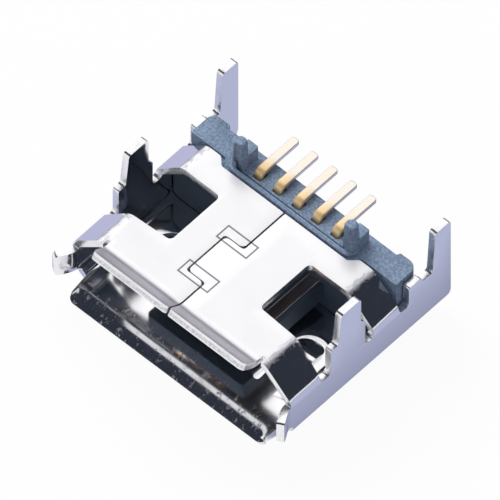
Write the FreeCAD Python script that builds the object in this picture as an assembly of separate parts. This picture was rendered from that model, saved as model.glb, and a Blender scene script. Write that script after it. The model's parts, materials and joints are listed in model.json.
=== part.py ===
import FreeCAD, Part
import math
import os

from FreeCAD import Vector

# A micro USB socket with four board legs, lying on its wide wall with the board side up.
# Millimetres. While it is built, y is 0 at the straight front edge of the shell and grows
# to the rear, and z is 0 at the outer face of the wide wall and grows to the board.

# Section of the shell, one folded sheet
sheet = 0.2
opening_width = 6.95
opening_height = 1.9
slant_width = 0.875
slant_angle = 43.5
bend_radius = 0.42

# Depths of the shell's walls, each measured on from the one before
narrow_depth = 3.72
slant_step = 0.22
step_inset = 0.575
side_reach = 1.86
base_setback = 0.35
base_rear_inset = 0.725
plate_corner = 0.45

# Flared lips round the mouth
lip_bend = 0.5
lip_corner = 0.15
narrow_lip_inset = 0.24
narrow_lip_angle = 35.0
narrow_lip_length = 0.35
narrow_lip_start = 0.09
wide_lip_inset = 0.425
wide_lip_taper = 0.13
wide_lip_angle = 18.0
wide_lip_length = 0.45
wide_lip_corner = 0.22
side_lip_bend = 0.4
side_lip_angle = 30.0
side_lip_length = 0.35
side_lip_bottom = 0.52
side_lip_height = 0.78
corner_relief = 0.12
relief_radius = 0.25

# Windows left in the narrow and slanted walls by the front legs
window_front = 1.18
window_bite = 1.3
window_taper = 0.12
window_corner = 0.14
rear_strap = 0.7

# Legs, which stand in the planes of the side walls
leg_reach = 1.03
leg_tip = 0.1
notch_drop = 0.2
notch_corner = 0.14
front_notch_before = 0.39
front_notch_behind = 0.33
front_leg_before = 0.26
front_leg_behind = 0.15
front_leg_lean = 0.12
front_shoulder_drop = 0.08
front_step_rise = 0.12
rear_notch = 0.34
rear_shoulder_drop = 0.3
rear_relief_drop = 0.5
rear_relief_width = 0.44
rear_leg_width = 0.66
rear_leg_lean = 0.1

# Seam of the narrow wall, with two marks where its halves lock
seam_gap = 0.03
seam_jog = 0.6
lock_width = 0.99
lock_depth = 0.44
lock_overhang = 0.24
lock_places = (0.66, 2.07)
mark_line = 0.035
mark_depth = 0.03

# Two springs cut free from the wide wall and bent in, to press on the plug
spring_inset = 1.375
spring_root = 0.65
spring_width = 0.74
spring_length = 1.85
spring_rise = 1.4
spring_lift = 0.26
spring_drop = 0.16
spring_bend = 0.3
spring_slot = 0.18
spring_end_gap = 0.15

# Contacts
contact_count = 5
pitch = 0.65
contact_sheet = 0.13
contact_bend = 0.09
blade_width = 0.34
blade_setback = 0.21
riser_setback = 0.43
tail_width = 0.24
tail_reach = 0.82
tail_lift = 0.06
tail_tip = 0.06

# Insulator
housing_slack = 0.03
contact_slack = 0.01
block_overlap = 0.32
housing_reach = 1.03
wing_gap = 0.12
wing_reach = 0.1
wing_pad = 0.6
wing_corner = 0.25
wing_round = 0.2
plateau_drop = 0.14
ridge_height = 0.11
ridge_width = 0.16
tongue_width = 3.24
tongue_front = 0.45
tongue_gap = 0.35
tongue_thickness = 0.6
tongue_chamfer = 0.12
pocket_width = 0.32
pocket_length = 0.26
pocket_depth = 0.5
post_spacing = 3.74
post_setback = 0.42
post_radius = 0.2
post_draft = 0.015
post_height = 1.02
post_chamfer = 0.05
rib_width = 0.34
rib_reach = 0.48
rib_height = 0.44

# Worked out from the sizes above
shell_half = opening_width / 2 + sheet
shell_height = opening_height + 2 * sheet
narrow_half = shell_half - slant_width
step_half = narrow_half - step_inset
knee = shell_height - slant_width * math.tan(math.radians(slant_angle))
slant_depth = narrow_depth + slant_step
side_depth = slant_depth + side_reach
base_depth = side_depth - base_setback
wide_lip_half = shell_half - wide_lip_inset
lip_root_half = wide_lip_half + wide_lip_taper
side_lip_top = side_lip_bottom + side_lip_height
window_rear = narrow_depth - rear_strap
window_side = window_front - window_taper
notch_bottom = knee - notch_drop
split = notch_bottom - 2 * notch_corner
tongue_bottom = sheet + tongue_gap
tongue_top = tongue_bottom + tongue_thickness
block_front = narrow_depth - block_overlap
wing_front = slant_depth + wing_gap
housing_rear = narrow_depth + housing_reach
housing_bottom = sheet + housing_slack
housing_half = shell_half - sheet - housing_slack
plateau = shell_height - plateau_drop
post_place = narrow_depth + post_setback
riser_place = narrow_depth + riser_setback
far = 20.0


def on_floor(z):
    return lambda a, b: Vector(a, b, z)


def on_front(y):
    return lambda a, b: Vector(a, y, b)


def on_side(x):
    return lambda a, b: Vector(x, a, b)


def rounded(corners, place):
    """Closed wire through corners (a, b, radius), each rounded to its radius."""
    stops = []
    for i, (a, b, radius) in enumerate(corners):
        here = Vector(a, b, 0)
        back = Vector(*corners[i - 1][:2], 0) - here
        ahead = Vector(*corners[(i + 1) % len(corners)][:2], 0) - here
        back.normalize()
        ahead.normalize()
        half = math.acos(max(-1.0, min(1.0, back.dot(ahead)))) / 2
        reach = radius / math.tan(half)
        bisector = (back + ahead).normalize() if radius else Vector()
        middle = here + bisector * (radius / math.sin(half) - radius)
        stops.append((here + back * reach, middle, here + ahead * reach, radius))
    edges = []
    for i, (start, middle, end, radius) in enumerate(stops):
        following = stops[(i + 1) % len(stops)][0]
        first = place(start.x, start.y)
        last = place(end.x, end.y)
        if radius:
            edges.append(Part.Arc(first, place(middle.x, middle.y), last).toShape())
        if (following - end).Length > 1e-6:
            edges.append(Part.makeLine(last, place(following.x, following.y)))
    return Part.Wire(edges)


def prism(corners, place, along):
    return Part.Face(rounded(corners, place)).extrude(along)


def block(low, high):
    size = Vector(*high) - Vector(*low)
    return Part.makeBox(size.x, size.y, size.z, Vector(*low))


def both(shape):
    """The shape and its mirror image on the other side of the middle plane."""
    return [shape, shape.mirror(Vector(), Vector(1, 0, 0))]


def shell_section(inset, y, length):
    """Closed section of the shell, moved in by inset, as a bar along y."""
    corners = [
        (-shell_half, 0, bend_radius),
        (shell_half, 0, bend_radius),
        (shell_half, knee, bend_radius),
        (narrow_half, shell_height, bend_radius),
        (-narrow_half, shell_height, bend_radius),
        (-shell_half, knee, bend_radius),
    ]
    outline = rounded(corners, on_front(y))
    if inset:
        outline = outline.makeOffset2D(-inset)
    return Part.Face(outline).extrude(Vector(0, length, 0))


def flare(angle, radius, length, overlap, place, along):
    """A strip of the sheet that leaves a wall and bends away from the mouth.

    place takes a forward distance and a distance out from the wall's outer face.
    """
    turn = math.radians(angle)
    inner = radius + sheet

    def on_arc(size, share):
        return place(size * math.sin(turn * share), radius - size * math.cos(turn * share))

    def tip(size):
        forward = size * math.sin(turn) + length * math.cos(turn)
        out = radius - size * math.cos(turn) + length * math.sin(turn)
        return place(forward, out)

    edges = [
        Part.makeLine(place(-overlap, 0), place(0, 0)),
        Part.Arc(place(0, 0), on_arc(radius, 0.5), on_arc(radius, 1)).toShape(),
        Part.makeLine(on_arc(radius, 1), tip(radius)),
        Part.makeLine(tip(radius), tip(inner)),
        Part.makeLine(tip(inner), on_arc(inner, 1)),
        Part.Arc(on_arc(inner, 1), on_arc(inner, 0.5), place(0, -sheet)).toShape(),
        Part.makeLine(place(0, -sheet), place(-overlap, -sheet)),
        Part.makeLine(place(-overlap, -sheet), place(-overlap, 0)),
    ]
    return Part.Face(Part.Wire(edges)).extrude(along)


def narrow_lip():
    """The lip of the narrow wall, before the seam parts it."""
    half = narrow_half - narrow_lip_inset

    def place(forward, out):
        return Vector(-half, narrow_lip_start - forward, shell_height + out)

    along = Vector(2 * half, 0, 0)
    strip = flare(narrow_lip_angle, lip_bend, narrow_lip_length, sheet / 2, place, along)
    front = strip.BoundBox.YMin
    outline = [
        (-half, front, lip_corner),
        (half, front, lip_corner),
        (half, far, 0),
        (-half, far, 0),
    ]
    return strip.common(prism(outline, on_floor(0), Vector(0, 0, far)))


def wide_lip():
    """The lip of the wide wall, which narrows to its rounded front corners."""
    half = lip_root_half
    overlap = 2 * corner_relief

    def place(forward, out):
        return Vector(-half, -forward, -out)

    along = Vector(2 * half, 0, 0)
    strip = flare(wide_lip_angle, lip_bend, wide_lip_length, overlap, place, along)
    front = strip.BoundBox.YMin
    outline = [
        (-wide_lip_half, front, wide_lip_corner),
        (wide_lip_half, front, wide_lip_corner),
        (half, 0, 0),
        (half, overlap, 0),
        (-half, overlap, 0),
        (-half, 0, 0),
    ]
    return strip.common(prism(outline, on_floor(-far / 2), Vector(0, 0, far)))


def side_lip():
    """The small flared lip in front of the right side wall."""
    overlap = 2 * corner_relief

    def place(forward, out):
        return Vector(shell_half + out, -forward, side_lip_bottom)

    along = Vector(0, 0, side_lip_height)
    strip = flare(side_lip_angle, side_lip_bend, side_lip_length, overlap, place, along)
    front = strip.BoundBox.YMin
    outline = [
        (front, side_lip_bottom, lip_corner),
        (front, side_lip_top, lip_corner / 2),
        (overlap, side_lip_top, 0),
        (overlap, side_lip_bottom, 0),
    ]
    return strip.common(prism(outline, on_side(0), Vector(far, 0, 0)))


def lower_channel(band):
    """The wide wall and the lower part of the side walls."""
    silhouette = [
        (0, 0, 0),
        (side_depth, 0, plate_corner),
        (side_depth, split, 0),
        (0, split, 0),
    ]
    channel = band.common(prism(silhouette, on_side(-far / 2), Vector(far, 0, 0)))
    rear_half = shell_half - base_rear_inset
    behind_base = [
        (-rear_half, base_depth, plate_corner / 2),
        (rear_half, base_depth, plate_corner / 2),
        (rear_half, far, 0),
        (-rear_half, far, 0),
    ]
    beside_lip = [
        (lip_root_half, -far, 0),
        (far, -far, 0),
        (far, corner_relief, 0),
        (lip_root_half, corner_relief, corner_relief / 2),
    ]
    under_side_lip = [
        (-far, -far, 0),
        (corner_relief, -far, 0),
        (corner_relief, side_lip_bottom, relief_radius),
        (-far, side_lip_bottom, 0),
    ]
    relief = prism(beside_lip, on_floor(-sheet), Vector(0, 0, side_lip_top)).common(
        prism(under_side_lip, on_side(0), Vector(far, 0, 0))
    )
    rear_gap = prism(behind_base, on_floor(-sheet), Vector(0, 0, 3 * sheet))
    return channel.cut([rear_gap] + both(relief))


def roof(band):
    """The narrow wall, the slanted walls and the side walls down to the split."""
    curve = slant_step / 2
    outline = [
        (-far, 0, 0),
        (far, 0, 0),
        (far, slant_depth, 0),
        (step_half + curve, slant_depth, curve),
        (step_half - curve, narrow_depth, curve),
        (-step_half + curve, narrow_depth, curve),
        (-step_half - curve, slant_depth, curve),
        (-far, slant_depth, 0),
    ]
    upper = band.common(prism(outline, on_floor(split), Vector(0, 0, far)))
    inner = narrow_half - window_bite
    window = [
        (inner, window_front + window_taper / 4, window_corner),
        (shell_half + slant_width, window_side, 0),
        (shell_half + slant_width, window_rear, 0),
        (inner, window_rear, window_corner),
    ]
    half = narrow_half - narrow_lip_inset
    low = shell_height - 2 * sheet
    lip_root = block((-half, -sheet, low), (half, narrow_lip_start, far))
    lip_end = block((half, -sheet, low), (half + sheet / 2, 2 * narrow_lip_start, far))
    windows = both(prism(window, on_floor(split), Vector(0, 0, far)))
    return upper.cut(windows + [lip_root] + both(lip_end))


def leg_outlines():
    """Outlines of the front and the rear leg in the plane of a side wall."""
    top = shell_height + leg_reach
    root = window_side + front_notch_before
    rear = window_rear - front_notch_behind
    leg = root + front_leg_before
    leg_rear = rear - front_leg_behind
    shoulder = shell_height - front_shoulder_drop
    front_leg = [
        (root, split, 0),
        (rear, split, 0),
        (rear, shoulder, leg_tip / 2),
        (leg_rear, shell_height + front_step_rise, leg_tip / 2),
        (leg_rear, top, leg_tip),
        (leg + front_leg_lean, top, leg_tip),
        (leg, shoulder, leg_tip),
        (root, shoulder, leg_tip / 2),
    ]
    root = slant_depth + rear_notch
    leg = side_depth - rear_leg_width
    shoulder = shell_height - rear_shoulder_drop
    relief = shell_height - rear_relief_drop
    rear_leg = [
        (root, split, 0),
        (side_depth, split, 0),
        (side_depth, top, leg_tip),
        (leg + rear_leg_lean, top, leg_tip),
        (leg, relief, leg_tip),
        (leg - rear_relief_width + leg_tip, relief, leg_tip / 2),
        (leg - rear_relief_width, shoulder, leg_tip / 2),
        (root, shoulder, leg_tip / 2),
    ]
    return front_leg, rear_leg


def side_plate():
    """The flat parts of the right side wall: the notched strips and both legs."""
    inner = shell_half - sheet
    strip_top = notch_bottom + notch_corner
    front_leg, rear_leg = leg_outlines()
    slots = [
        (window_side, front_leg[0][0]),
        (front_leg[1][0], window_rear),
        (slant_depth, rear_leg[0][0]),
    ]
    strips = []
    cutters = []
    for low, high in slots:
        strips.append(
            block((inner, low - notch_corner, split), (shell_half, high + notch_corner, strip_top))
        )
        slot = [
            (low, notch_bottom, notch_corner),
            (high, notch_bottom, notch_corner),
            (high, far, 0),
            (low, far, 0),
        ]
        cutters.append(prism(slot, on_side(inner - sheet), Vector(3 * sheet, 0, 0)))
    along = Vector(sheet, 0, 0)
    legs = [prism(leg, on_side(inner), along) for leg in (front_leg, rear_leg)]
    return strips[0].fuse(strips[1:]).cut(cutters).fuse(legs)


def seam():
    """The cut where the two halves of the narrow wall meet, with its two jogs."""
    gap = seam_gap / 2
    bend = lock_depth / 4
    front_jog, rear_jog = [place + (lock_depth - bend) / 2 for place in lock_places]
    corners = [
        (gap, far, 0),
        (gap, rear_jog - gap, bend - gap),
        (-seam_jog + gap, rear_jog - gap, bend + gap),
        (-seam_jog + gap, front_jog + gap, bend + gap),
        (gap, front_jog + gap, bend - gap),
        (gap, -far, 0),
        (-gap, -far, 0),
        (-gap, front_jog - gap, bend + gap),
        (-seam_jog - gap, front_jog - gap, bend - gap),
        (-seam_jog - gap, rear_jog + gap, bend - gap),
        (-gap, rear_jog + gap, bend + gap),
        (-gap, far, 0),
    ]
    return prism(corners, on_floor(shell_height - 4 * sheet), Vector(0, 0, far))


def lock_mark(y):
    """The fine groove pressed round one lock of the seam."""
    left = lock_overhang - lock_width
    outer = block((left, y, shell_height - mark_depth), (lock_overhang, y + lock_depth, far))
    inner = block(
        (left + mark_line, y + mark_line, 0),
        (lock_overhang - mark_line, y + lock_depth - mark_line, far),
    )
    return outer.cut(inner)


def spring_opening(x):
    """The opening in the wide wall that frees the spring at x."""
    half = spring_width / 2 + spring_slot
    rear = spring_root + spring_length + spring_end_gap
    outline = [
        (x - half, spring_root, spring_slot / 2),
        (x + half, spring_root, spring_slot / 2),
        (x + half, rear, half),
        (x - half, rear, half),
    ]
    return prism(outline, on_floor(-sheet), Vector(0, 0, 3 * sheet))


def spring(x):
    """The bent tongue of sheet at x, which rises to a crest and drops at its round tip."""
    half = spring_width / 2
    start = spring_root - sheet
    foot = spring_root + sheet
    crest = spring_root + spring_rise
    tip = spring_root + spring_length
    drop = spring_lift - spring_drop
    outer = spring_bend + sheet
    profile = [
        (start, 0, 0),
        (foot, 0, outer),
        (crest, spring_lift, spring_bend),
        (tip, drop, 0),
        (tip, drop + sheet, 0),
        (crest, spring_lift + sheet, outer),
        (foot, sheet, spring_bend),
        (start, sheet, 0),
    ]
    outline = [
        (x - half, start, 0),
        (x + half, start, 0),
        (x + half, tip, half),
        (x - half, tip, half),
    ]
    strip = prism(profile, on_side(x - half), Vector(spring_width, 0, 0))
    return strip.common(prism(outline, on_floor(-sheet), Vector(0, 0, far)))


def shell():
    """One folded sheet: a closed band with legs, windows, lips, springs and a locked seam."""
    band = shell_section(0, 0, side_depth).cut(shell_section(sheet, 0, side_depth))
    pieces = [roof(band), narrow_lip(), wide_lip()]
    pieces += both(side_plate())
    pieces += both(side_lip())
    body = lower_channel(band).fuse(pieces)
    place = shell_half - spring_inset
    body = body.cut(both(spring_opening(place))).fuse(both(spring(place)))
    body = body.cut([seam()] + [lock_mark(y) for y in lock_places])
    return body.removeSplitter()


def contact(x):
    """One stamped strip: blade along the tongue, riser through the block, and tail."""
    low = riser_place - contact_sheet / 2
    high = riser_place + contact_sheet / 2
    outer = contact_bend + contact_sheet
    blade_start = tongue_front + blade_setback
    blade_top = tongue_top + contact_slack
    blade_bottom = blade_top - contact_sheet
    tail_end = housing_rear + tail_reach
    tail_top = shell_height + tail_lift
    tail_bottom = tail_top - contact_sheet
    middle = (blade_top + tail_bottom) / 2
    blade = [
        (blade_start, blade_bottom, contact_sheet / 2),
        (high, blade_bottom, outer),
        (high, middle, 0),
        (low, middle, 0),
        (low, blade_top, contact_bend),
        (blade_start, blade_top, contact_sheet / 3),
    ]
    tail = [
        (low, middle, 0),
        (high, middle, 0),
        (high, tail_bottom, contact_bend),
        (tail_end, tail_bottom, tail_tip / 2),
        (tail_end, tail_top, tail_tip / 2),
        (low, tail_top, outer),
    ]
    tip = [
        (x - tail_width / 2, 0, 0),
        (x + tail_width / 2, 0, 0),
        (x + tail_width / 2, tail_end, tail_tip),
        (x - tail_width / 2, tail_end, tail_tip),
    ]
    wide = prism(blade, on_side(x - blade_width / 2), Vector(blade_width, 0, 0))
    slim = prism(tail, on_side(x - tail_width / 2), Vector(tail_width, 0, 0))
    slim = slim.common(prism(tip, on_floor(0), Vector(0, 0, far)))
    return wide.fuse(slim).removeSplitter()


def contact_room(x):
    """The space that the contact at x needs in the insulator, with its slack and its pocket."""
    slack = contact_slack
    left = x - blade_width / 2 - slack
    right = x + blade_width / 2 + slack
    front = tongue_front + blade_setback - slack
    low = riser_place - contact_sheet / 2 - slack
    high = riser_place + contact_sheet / 2 + slack
    bottom = tongue_top + slack - contact_sheet
    top = tongue_top + 2 * slack
    groove = block((left, front, bottom), (right, block_front, far))
    channel = block((left, block_front - slack, bottom), (right, high, top))
    riser = block((left, low, bottom), (right, high, far))
    bend = block((left, low - contact_bend, bottom), (right, high, top + contact_bend))
    pocket = [
        (x - pocket_width / 2, high - pocket_length, pocket_width / 4),
        (x + pocket_width / 2, high - pocket_length, pocket_width / 4),
        (x + pocket_width / 2, high, 0),
        (x - pocket_width / 2, high, 0),
    ]
    mouth = prism(pocket, on_floor(plateau - pocket_depth), Vector(0, 0, far))
    return [groove, channel, riser, bend, mouth]


def tongue():
    """The tongue in the mouth that carries the contacts on its board side."""
    half = tongue_width / 2
    cut = tongue_chamfer
    profile = [
        (tongue_front, tongue_bottom + cut, 0),
        (tongue_front + cut, tongue_bottom, 0),
        (block_front, tongue_bottom, 0),
        (block_front, tongue_top, 0),
        (tongue_front + cut, tongue_top, 0),
        (tongue_front, tongue_top - cut, 0),
    ]
    outline = [
        (-half, tongue_front, cut),
        (half, tongue_front, cut),
        (half, block_front, 0),
        (-half, block_front, 0),
    ]
    bar = prism(profile, on_side(-half), Vector(tongue_width, 0, 0))
    return bar.common(prism(outline, on_floor(0), Vector(0, 0, far)))


def rear_block():
    """The block that closes the shell, with the plateau, its ridge and its wings."""
    length = wing_front - block_front
    inside = shell_section(sheet + housing_slack, block_front, length)
    half = housing_half
    pad = half - wing_pad
    front = narrow_depth + housing_slack
    wide = step_half - housing_slack + slant_step / 2
    slim = wide - slant_step
    reach = housing_rear + wing_reach
    outline = [
        (-half, wing_front, 0),
        (-wide, wing_front, 0),
        (-slim, front, 0),
        (slim, front, 0),
        (wide, wing_front, 0),
        (half, wing_front, 0),
        (half, reach, wing_corner),
        (pad, reach, 0),
        (pad, housing_rear, 0),
        (-pad, housing_rear, 0),
        (-pad, reach, 0),
        (-half, reach, wing_corner),
    ]
    bottom_round = bend_radius - sheet - housing_slack
    section = [
        (-half, housing_bottom, bottom_round),
        (half, housing_bottom, bottom_round),
        (half, plateau, wing_round),
        (-half, plateau, wing_round),
    ]
    ridge = [
        (-slim, front, 0),
        (slim, front, 0),
        (slim + ridge_width, front + ridge_width, 0),
        (-slim - ridge_width, front + ridge_width, 0),
    ]
    plate = prism(outline, on_floor(0), Vector(0, 0, far)).common(
        prism(section, on_front(0), Vector(0, far, 0))
    )
    ridge_room = plateau + ridge_height - tongue_top
    return inside.fuse([plate, prism(ridge, on_floor(tongue_top), Vector(0, 0, ridge_room))])


def post():
    """The right locating post, a little thicker beside the rib that stiffens it from behind."""
    x = post_spacing / 2
    straight = post_height - rib_height - post_chamfer
    wide = post_radius + post_draft
    end = post_radius - post_chamfer
    rib_top = Vector(x, post_place, plateau + rib_height)
    foot = Part.makeCone(wide, post_radius, rib_height, Vector(x, post_place, plateau))
    column = Part.makeCylinder(post_radius, straight, rib_top)
    tip = Part.makeCone(post_radius, end, post_chamfer, rib_top + Vector(0, 0, straight))
    rib = block(
        (x - rib_width / 2, post_place, plateau),
        (x + rib_width / 2, post_place + rib_reach, plateau + rib_height),
    )
    return foot.fuse([column, tip, rib])


def contact_places():
    middle = (contact_count - 1) / 2
    return [(i - middle) * pitch for i in range(contact_count)]


def housing():
    """One moulding: tongue, rear block, two posts, and room for the contacts."""
    body = rear_block().fuse([tongue()] + both(post()))
    rooms = []
    for x in contact_places():
        rooms += contact_room(x)
    return body.cut(rooms).removeSplitter()


def main():
    os.makedirs("parts", exist_ok=True)
    nodes = {"shell": shell(), "housing": housing()}
    for i, x in enumerate(contact_places()):
        nodes[f"contact_{i + 1}"] = contact(x)
    box = nodes["shell"].optimalBoundingBox(False, False)
    to_origin = Vector(0, -(box.YMin + box.YMax) / 2, -box.ZMin)
    for name, shape in nodes.items():
        solids = shape.Solids
        part = solids[0] if len(solids) == 1 else Part.makeCompound(solids)
        part.translate(to_origin)
        part.exportStep(f"parts/{name}.step")
        print(name, len(solids), "solid", part.isValid(), "volume", round(part.Volume, 4))
    print("shift", round(to_origin.y, 4), round(to_origin.z, 4))


main()
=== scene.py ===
"""The looks of a micro USB socket, laid out as an add-on and run as a script."""

import json
import math

import bmesh
import bpy
from bpy.props import FloatProperty, FloatVectorProperty, PointerProperty
from mathutils import Matrix, Vector


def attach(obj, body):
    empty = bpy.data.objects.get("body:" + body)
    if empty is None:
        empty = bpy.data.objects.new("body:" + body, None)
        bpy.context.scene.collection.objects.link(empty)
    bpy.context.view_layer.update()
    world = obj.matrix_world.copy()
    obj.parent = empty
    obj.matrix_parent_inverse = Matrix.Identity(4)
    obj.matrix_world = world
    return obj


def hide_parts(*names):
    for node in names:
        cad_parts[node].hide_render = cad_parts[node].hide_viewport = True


bl_info = {
    "name": "Micro USB Socket",
    "version": (1, 0, 0),
    "blender": (4, 5, 0),
    "location": "View3D > Sidebar > Socket",
    "description": "Builds the folded shell, insulator and contacts of a micro USB socket",
    "category": "Add Mesh",
}

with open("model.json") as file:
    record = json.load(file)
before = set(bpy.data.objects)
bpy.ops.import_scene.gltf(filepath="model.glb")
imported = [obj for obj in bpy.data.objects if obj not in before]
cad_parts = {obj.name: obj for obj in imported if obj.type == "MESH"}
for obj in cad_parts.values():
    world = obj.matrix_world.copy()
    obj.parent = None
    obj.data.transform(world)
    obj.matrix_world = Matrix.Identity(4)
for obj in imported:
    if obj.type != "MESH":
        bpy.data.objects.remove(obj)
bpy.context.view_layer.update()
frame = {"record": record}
MM = 0.001

# Places are in millimetres from the middle of the shell's straight front edge, on the outer
# face of its wide wall. The record's mouth and board face give where that point is.
PLACES = {mount["name"]: mount["pos_m"] for mount in frame["record"]["mounts"]}
SHELL_HEIGHT = 2.3
ORIGIN = Vector((0, PLACES["plug_mouth"][1], PLACES["board_face"][2] - SHELL_HEIGHT * MM))
MOUTH = ORIGIN.y / MM
WALL_TOP = ORIGIN.z / MM + SHELL_HEIGHT
FAR = 20.0
TINY = 1e-4

# Section of the shell
SHELL_HALF = 3.675
NARROW_HALF = 2.8
SLANT_TURN = math.radians(43.5)
KNEE_TURN = math.pi / 2 - SLANT_TURN
KNEE_HEIGHT = SHELL_HEIGHT - (SHELL_HALF - NARROW_HALF) * math.tan(SLANT_TURN)

# Depths of the shell's walls
NARROW_DEPTH = 3.72
SLANT_DEPTH = 3.94
BASE_DEPTH = 5.45
SIDE_DEPTH = 5.8
STEP_HALF = 2.225
STEP_ROUND = 0.11
PLATE_ROUND = 0.04

# Lips round the mouth: start, bend radius, angle, straight length
NARROW_LIP = (0.09, 0.5, math.radians(35), 0.35)
WIDE_LIP = (0.0, 1.0, math.radians(24.5), 0.161)
SIDE_LIP = (0.0, 0.4, math.radians(30), 0.35)
NARROW_LIP_HALF = 2.56
WIDE_LIP_HALF = 3.25
WIDE_LIP_ROOT = 3.38
SIDE_LIP_RANGE = (0.52, 1.3)
LIP_RELIEF = 0.12
NARROW_RELIEF = 0.18
NARROW_RELIEF_WIDTH = 0.1
LIP_ROUND = 0.15

# Windows, notches and legs
WINDOW_INNER = 1.5
WINDOW_FRONT = 1.21
WINDOW_REAR = 3.02
WINDOW_ROUND = 0.14
NOTCH_BOTTOM = 1.2697
NOTCH_ROUND = 0.139
NOTCH_FRONT = 1.45
NOTCH_REAR = 2.69
REAR_NOTCH = 4.28
LEG_TOP = 3.33
LEG_ROUND = 0.1
SHOULDER_ROUND = 0.05
FRONT_LEGS = (1.3, 2.85)
REAR_LEGS = 4.1

# Springs of the wide wall
SPRING_PLACE = 2.3
SPRING_HALF = 0.37
SPRING_ROOT = 0.65
SPRING_FOOT = 0.85
SPRING_CREST = 2.0
SPRING_TIP = 2.42
FOOT_EASE = 0.06
CREST_EASE = 0.1
SPRING_LIFT = 0.26
SPRING_DROP = 0.24
SLOT_HALF = 0.55
SLOT_END = 2.65

# Lines across the blank that let its flat parts shade evenly, and the wear on it
CROSS_CUTS = (-0.45, 0.3, 0.58, 0.95, 1.4, 1.9, 2.35, 2.8, 3.3, 4.0, 4.5, 5.0, 5.4)
WORN_HALF = 0.1
WORN_FADE = 0.08
WIDE_LIP_WEAR = 0.65

# Seam and the marks of its locks
SEAM_JOG = 0.6
LOCK_DEPTH = 0.44
LOCK_PLACES = (0.66, 2.07)
LOCK_LEFT = -0.75
LOCK_RIGHT = 0.24

# Insulator
TONGUE_TOP = 1.15
TONGUE_THICKNESS = 0.6
TONGUE_HALF = 1.62
TONGUE_FRONT = 0.45
PLATEAU = 2.16
RIDGE_TOP = 2.27
BLOCK_INSET = 0.23
BLOCK_ROUND = 0.19
BLOCK_FRONT = 3.4
BLOCK_SLACK = 0.03
WING_FRONT = 4.06
HOUSING_REAR = 4.75
PAD_WIDTH = 0.6
PAD_REACH = 0.1
POST_X = 1.87
POST_Y = 4.14
POST_HEIGHT = 1.02
RIB_HALF = 0.17
RIB_REACH = 0.48
RIB_HEIGHT = 0.44

# Contacts
CONTACT_PITCH = 0.65
CONTACT_COUNT = 5
BLADE_HALF = 0.17
BLADE_FRONT = 0.66
BLADE_LIFT = 0.01
RISER_Y = 4.21
TAIL_SHARE = 0.24 / 0.34
TAIL_LIFT = 0.06
TAIL_END = 5.57
TAIL_ROUND = 0.07
STRIP_BEND = 0.09
NARROWING = 0.3

# Camera and picture
AZIMUTH = math.radians(42.79)
ELEVATION = math.radians(54.19)
PICTURE = 500
PIXELS_PER_MM = 40.5
LOOKS_AT = Vector((-0.24, 0.152, 1.694))


def number(label, note, value, low=0.0, high=1.0, **more):
    return FloatProperty(name=label, description=note, default=value, min=low, max=high, **more)


def length(label, note, millimetres):
    kind = {"precision": 6, "subtype": "DISTANCE", "unit": "LENGTH"}
    return number(label, note, millimetres * MM, high=0.01, **kind)


def colour(label, note, value):
    return FloatVectorProperty(
        name=label, description=note, default=value, size=3, min=0, max=1, subtype="COLOR"
    )


class ShellSettings(bpy.types.PropertyGroup):
    sheet: length("Sheet", "Thickness of the folded sheet", 0.2)
    bend: length("Bend", "Outer radius of the four long bends", 0.42)
    edge: length("Edge", "Rounding of the sheared edges", 0.03)
    seam: length("Seam", "Gap between the locked halves of the narrow wall", 0.05)
    mark: length("Lock mark", "Width of the line pressed round each lock", 0.06)
    plate: colour("Plating", "Colour of the nickel plate", (0.84, 0.84, 0.86))
    stain: colour("Stain", "Colour of the fine specks in the plate", (0.66, 0.65, 0.68))
    # The groove colour is painted shade in the line pressed round each lock.
    groove_shade: colour("Groove", "Colour of the line pressed round each lock", (0.17, 0.16, 0.18))
    cut: colour("Sheared edge", "Colour of the sheet's cut edges", (0.87, 0.87, 0.89))
    torn: colour("Torn edge", "Colour of the rough part of the lips' cut edges", (0.56, 0.56, 0.6))
    gloss: number("Roughness", "Roughness of the plate", 0.1)
    dull: number("Dullness", "Roughness that handling adds to the narrow wall", 0.22)
    film: colour("Film", "Colour of the thin pale film on the narrow wall", (0.88, 0.865, 0.845))


class InsulatorSettings(bpy.types.PropertyGroup):
    edge: length("Edge", "Rounding of the moulded edges", 0.03)
    post: length("Post", "Radius of each locating post at its foot", 0.2)
    plastic: colour("Plastic", "Colour of the moulding", (0.13, 0.185, 0.265))
    # The bloom colour is partly a pale bloom and partly painted sheen on the moulding's grain.
    bloom_and_sheen: colour("Bloom", "Colour of the pale bloom on the moulding", (0.3, 0.39, 0.51))
    gloss: number("Roughness", "Roughness of the moulding", 0.45)


class ContactSettings(bpy.types.PropertyGroup):
    sheet: length("Strip", "Thickness of the contact strip", 0.13)
    edge: length("Edge", "Rounding of the strip's edges", 0.014)
    gold: colour("Gold", "Colour of the gold flash", (0.83, 0.78, 0.72))
    wear: colour("Wear", "Colour at the bends", (0.98, 0.7, 0.36))
    # The tarnish colour is painted shade on the blades inside the shell.
    blade_shade: colour("Tarnish", "Colour of the blades inside", (0.85, 0.74, 0.7))
    # The tip colour is a painted glint on the blades' front ends.
    tip_glint: colour("Tip", "Colour of the blades' front ends", (0.98, 0.56, 0.16))
    gloss: number("Roughness", "Roughness of the gold", 0.26)


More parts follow.
